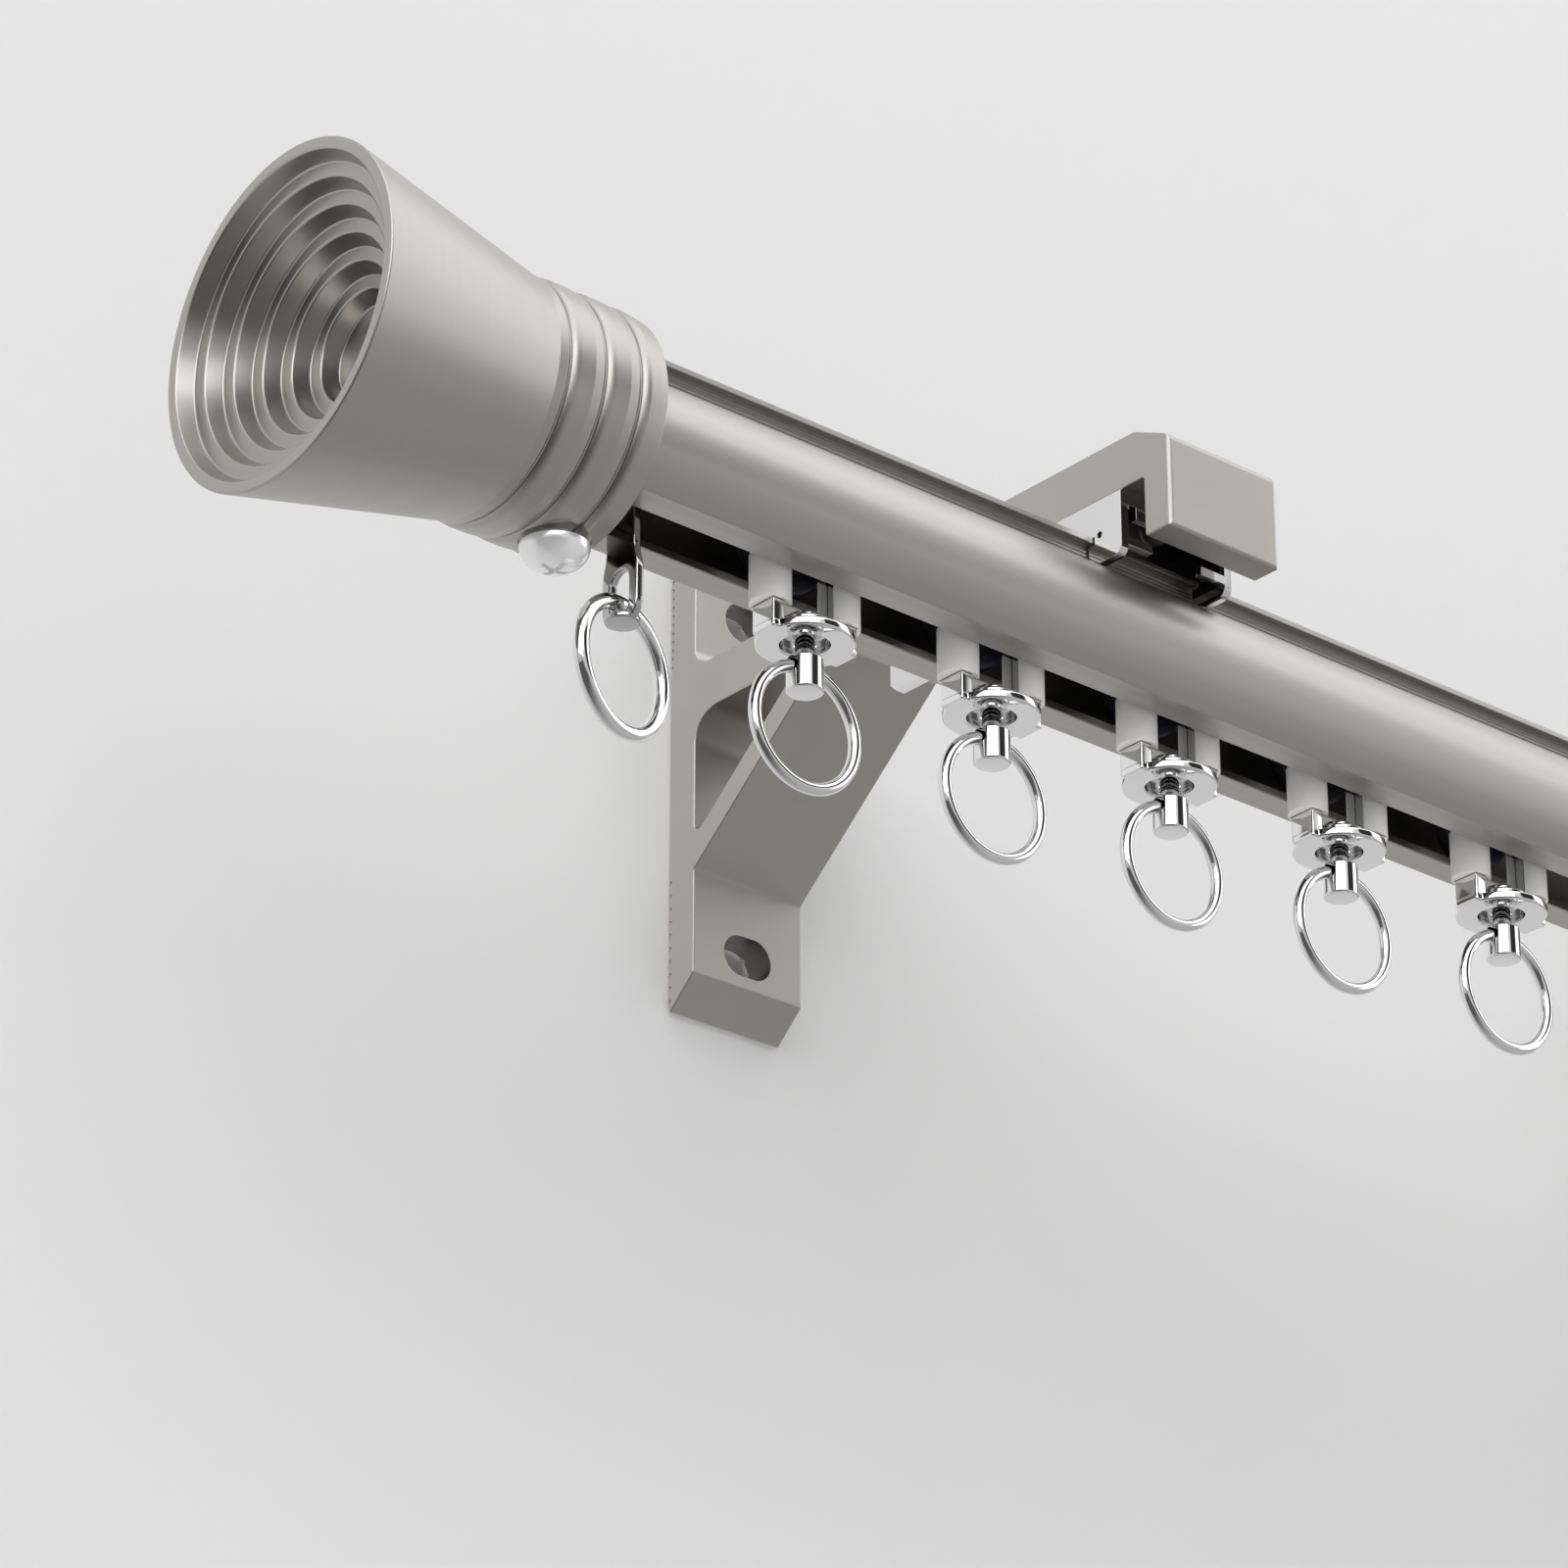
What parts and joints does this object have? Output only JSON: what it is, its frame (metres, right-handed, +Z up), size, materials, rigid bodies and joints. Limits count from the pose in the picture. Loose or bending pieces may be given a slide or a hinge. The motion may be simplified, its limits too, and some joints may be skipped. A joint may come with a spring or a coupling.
{
  "type": "curtain track",
  "caption": "Round curtain track with stepped trumpet finials, wall brackets and ring carriers that roll on wheels inside the slotted rail.",
  "frame": {"origin": "on the wall face of the left bracket, midway between its two screw slots", "axes": "+X along the rail towards the right finial, +Y into the wall, +Z up"},
  "size_m": [0.5988, 0.1324, 0.1049],
  "materials": {
    "satin_nickel": "satin anodised nickel tone",
    "chrome": "polished chrome plate",
    "dark_steel": "dark blued steel",
    "white_nylon": "smooth white nylon",
    "blue_tyre": "deep blue moulded plastic",
    "bearing_steel": "ground bearing steel"
  },
  "bodies": {
    "track": {"rail": "satin_nickel", "finial_left": "satin_nickel", "finial_right": "satin_nickel", "finial_screws": "chrome", "end_stop_left": "chrome", "end_stop_right": "chrome", "bracket_left": "satin_nickel", "bracket_right": "satin_nickel", "clip_left": "chrome", "clip_right": "chrome", "clip_screws": "dark_steel"},
    "end_ring_left": {"end_ring_left": "chrome"},
    "lock_lever_left": {"lock_lever_left": "chrome"},
    "end_ring_right": {"end_ring_right": "chrome"},
    "lock_lever_right": {"lock_lever_right": "chrome"},
    "carrier_1": {"carrier_1_frame": "chrome", "carrier_1_axle": "chrome", "carrier_1_sleeves": "white_nylon"},
    "carrier_1_wheel_front": {"carrier_1_tyre_front": "blue_tyre", "carrier_1_bearing_front": "bearing_steel"},
    "carrier_1_wheel_rear": {"carrier_1_tyre_rear": "blue_tyre", "carrier_1_bearing_rear": "bearing_steel"},
    "carrier_1_swivel": {"carrier_1_swivel": "chrome"},
    "carrier_1_ring": {"carrier_1_ring": "chrome"},
    "carrier_2": {"carrier_2_frame": "chrome", "carrier_2_axle": "chrome", "carrier_2_sleeves": "white_nylon"},
    "carrier_2_wheel_front": {"carrier_2_tyre_front": "blue_tyre", "carrier_2_bearing_front": "bearing_steel"},
    "carrier_2_wheel_rear": {"carrier_2_tyre_rear": "blue_tyre", "carrier_2_bearing_rear": "bearing_steel"},
    "carrier_2_swivel": {"carrier_2_swivel": "chrome"},
    "carrier_2_ring": {"carrier_2_ring": "chrome"},
    "carrier_3": {"carrier_3_frame": "chrome", "carrier_3_axle": "chrome", "carrier_3_sleeves": "white_nylon"},
    "carrier_3_wheel_front": {"carrier_3_tyre_front": "blue_tyre", "carrier_3_bearing_front": "bearing_steel"},
    "carrier_3_wheel_rear": {"carrier_3_tyre_rear": "blue_tyre", "carrier_3_bearing_rear": "bearing_steel"},
    "carrier_3_swivel": {"carrier_3_swivel": "chrome"},
    "carrier_3_ring": {"carrier_3_ring": "chrome"},
    "carrier_4": {"carrier_4_frame": "chrome", "carrier_4_axle": "chrome", "carrier_4_sleeves": "white_nylon"},
    "carrier_4_wheel_front": {"carrier_4_tyre_front": "blue_tyre", "carrier_4_bearing_front": "bearing_steel"},
    "carrier_4_wheel_rear": {"carrier_4_tyre_rear": "blue_tyre", "carrier_4_bearing_rear": "bearing_steel"},
    "carrier_4_swivel": {"carrier_4_swivel": "chrome"},
    "carrier_4_ring": {"carrier_4_ring": "chrome"},
    "carrier_5": {"carrier_5_frame": "chrome", "carrier_5_axle": "chrome", "carrier_5_sleeves": "white_nylon"},
    "carrier_5_wheel_front": {"carrier_5_tyre_front": "blue_tyre", "carrier_5_bearing_front": "bearing_steel"},
    "carrier_5_wheel_rear": {"carrier_5_tyre_rear": "blue_tyre", "carrier_5_bearing_rear": "bearing_steel"},
    "carrier_5_swivel": {"carrier_5_swivel": "chrome"},
    "carrier_5_ring": {"carrier_5_ring": "chrome"}
  },
  "joints": [
    {"name": "end_ring_left_swing", "type": "hinge", "parent": "track", "child": "end_ring_left", "pos_m": [-0.1074, -0.1044, -0.03815], "axis": [0.9659, 0.2588, 0], "range_deg": [-45, 45]},
    {"name": "lock_lever_left_turn", "type": "hinge", "parent": "track", "child": "lock_lever_left", "pos_m": [-0.0009, -0.0949, 0.005], "axis": [1, 0, 0], "range_deg": [0, 14]},
    {"name": "end_ring_right_swing", "type": "hinge", "parent": "track", "child": "end_ring_right", "pos_m": [0.3594, -0.1044, -0.03815], "axis": [0.9659, 0.2588, 0], "range_deg": [-45, 45]},
    {"name": "lock_lever_right_turn", "type": "hinge", "parent": "track", "child": "lock_lever_right", "pos_m": [0.2511, -0.0949, 0.005], "axis": [1, 0, 0], "range_deg": [0, 14]},
    {"name": "carrier_1_roll", "type": "slide", "parent": "track", "child": "carrier_1", "axis": [1, 0, 0], "range_m": [-0.012, 0.015]},
    {"name": "carrier_1_wheel_front_spin", "type": "hinge", "parent": "carrier_1", "child": "carrier_1_wheel_front", "pos_m": [-0.07085, -0.1104, -0.0136], "axis": [0, 1, 0], "continuous": true},
    {"name": "carrier_1_wheel_rear_spin", "type": "hinge", "parent": "carrier_1", "child": "carrier_1_wheel_rear", "pos_m": [-0.07085, -0.0984, -0.0136], "axis": [0, 1, 0], "continuous": true},
    {"name": "carrier_1_swivel_turn", "type": "hinge", "parent": "carrier_1", "child": "carrier_1_swivel", "pos_m": [-0.07085, -0.1044, -0.0333], "axis": [0, 0, 1], "continuous": true},
    {"name": "carrier_1_ring_swing", "type": "hinge", "parent": "carrier_1_swivel", "child": "carrier_1_ring", "pos_m": [-0.07085, -0.1044, -0.03695], "axis": [1, 0, 0], "range_deg": [-80, 80]},
    {"name": "carrier_2_roll", "type": "slide", "parent": "track", "child": "carrier_2", "axis": [1, 0, 0], "range_m": [-0.015, 0.015]},
    {"name": "carrier_2_wheel_front_spin", "type": "hinge", "parent": "carrier_2", "child": "carrier_2_wheel_front", "pos_m": [-0.03151, -0.1104, -0.0136], "axis": [0, 1, 0], "continuous": true},
    {"name": "carrier_2_wheel_rear_spin", "type": "hinge", "parent": "carrier_2", "child": "carrier_2_wheel_rear", "pos_m": [-0.03151, -0.0984, -0.0136], "axis": [0, 1, 0], "continuous": true},
    {"name": "carrier_2_swivel_turn", "type": "hinge", "parent": "carrier_2", "child": "carrier_2_swivel", "pos_m": [-0.03151, -0.1044, -0.0333], "axis": [0, 0, 1], "continuous": true},
    {"name": "carrier_2_ring_swing", "type": "hinge", "parent": "carrier_2_swivel", "child": "carrier_2_ring", "pos_m": [-0.03151, -0.1044, -0.03695], "axis": [1, 0, 0], "range_deg": [-80, 80]},
    {"name": "carrier_3_roll", "type": "slide", "parent": "track", "child": "carrier_3", "axis": [1, 0, 0], "range_m": [-0.015, 0.015]},
    {"name": "carrier_3_wheel_front_spin", "type": "hinge", "parent": "carrier_3", "child": "carrier_3_wheel_front", "pos_m": [0.00783, -0.1104, -0.0136], "axis": [0, 1, 0], "continuous": true},
    {"name": "carrier_3_wheel_rear_spin", "type": "hinge", "parent": "carrier_3", "child": "carrier_3_wheel_rear", "pos_m": [0.00783, -0.0984, -0.0136], "axis": [0, 1, 0], "continuous": true},
    {"name": "carrier_3_swivel_turn", "type": "hinge", "parent": "carrier_3", "child": "carrier_3_swivel", "pos_m": [0.00783, -0.1044, -0.0333], "axis": [0, 0, 1], "continuous": true},
    {"name": "carrier_3_ring_swing", "type": "hinge", "parent": "carrier_3_swivel", "child": "carrier_3_ring", "pos_m": [0.00783, -0.1044, -0.03695], "axis": [1, 0, 0], "range_deg": [-80, 80]},
    {"name": "carrier_4_roll", "type": "slide", "parent": "track", "child": "carrier_4", "axis": [1, 0, 0], "range_m": [-0.015, 0.015]},
    {"name": "carrier_4_wheel_front_spin", "type": "hinge", "parent": "carrier_4", "child": "carrier_4_wheel_front", "pos_m": [0.04717, -0.1104, -0.0136], "axis": [0, 1, 0], "continuous": true},
    {"name": "carrier_4_wheel_rear_spin", "type": "hinge", "parent": "carrier_4", "child": "carrier_4_wheel_rear", "pos_m": [0.04717, -0.0984, -0.0136], "axis": [0, 1, 0], "continuous": true},
    {"name": "carrier_4_swivel_turn", "type": "hinge", "parent": "carrier_4", "child": "carrier_4_swivel", "pos_m": [0.04717, -0.1044, -0.0333], "axis": [0, 0, 1], "continuous": true},
    {"name": "carrier_4_ring_swing", "type": "hinge", "parent": "carrier_4_swivel", "child": "carrier_4_ring", "pos_m": [0.04717, -0.1044, -0.03695], "axis": [1, 0, 0], "range_deg": [-80, 80]},
    {"name": "carrier_5_roll", "type": "slide", "parent": "track", "child": "carrier_5", "axis": [1, 0, 0], "range_m": [-0.015, 0.248]},
    {"name": "carrier_5_wheel_front_spin", "type": "hinge", "parent": "carrier_5", "child": "carrier_5_wheel_front", "pos_m": [0.08651, -0.1104, -0.0136], "axis": [0, 1, 0], "continuous": true},
    {"name": "carrier_5_wheel_rear_spin", "type": "hinge", "parent": "carrier_5", "child": "carrier_5_wheel_rear", "pos_m": [0.08651, -0.0984, -0.0136], "axis": [0, 1, 0], "continuous": true},
    {"name": "carrier_5_swivel_turn", "type": "hinge", "parent": "carrier_5", "child": "carrier_5_swivel", "pos_m": [0.08651, -0.1044, -0.0333], "axis": [0, 0, 1], "continuous": true},
    {"name": "carrier_5_ring_swing", "type": "hinge", "parent": "carrier_5_swivel", "child": "carrier_5_ring", "pos_m": [0.08651, -0.1044, -0.03695], "axis": [1, 0, 0], "range_deg": [-80, 80]}
  ],
  "couplings": [
    {"joint": "carrier_1_wheel_front_spin", "follows": "carrier_1_roll", "rad_per_m": 121.21},
    {"joint": "carrier_1_wheel_rear_spin", "follows": "carrier_1_roll", "rad_per_m": 121.21},
    {"joint": "carrier_2_wheel_front_spin", "follows": "carrier_2_roll", "rad_per_m": 121.21},
    {"joint": "carrier_2_wheel_rear_spin", "follows": "carrier_2_roll", "rad_per_m": 121.21},
    {"joint": "carrier_3_wheel_front_spin", "follows": "carrier_3_roll", "rad_per_m": 121.21},
    {"joint": "carrier_3_wheel_rear_spin", "follows": "carrier_3_roll", "rad_per_m": 121.21},
    {"joint": "carrier_4_wheel_front_spin", "follows": "carrier_4_roll", "rad_per_m": 121.21},
    {"joint": "carrier_4_wheel_rear_spin", "follows": "carrier_4_roll", "rad_per_m": 121.21},
    {"joint": "carrier_5_wheel_front_spin", "follows": "carrier_5_roll", "rad_per_m": 121.21},
    {"joint": "carrier_5_wheel_rear_spin", "follows": "carrier_5_roll", "rad_per_m": 121.21}
  ]
}
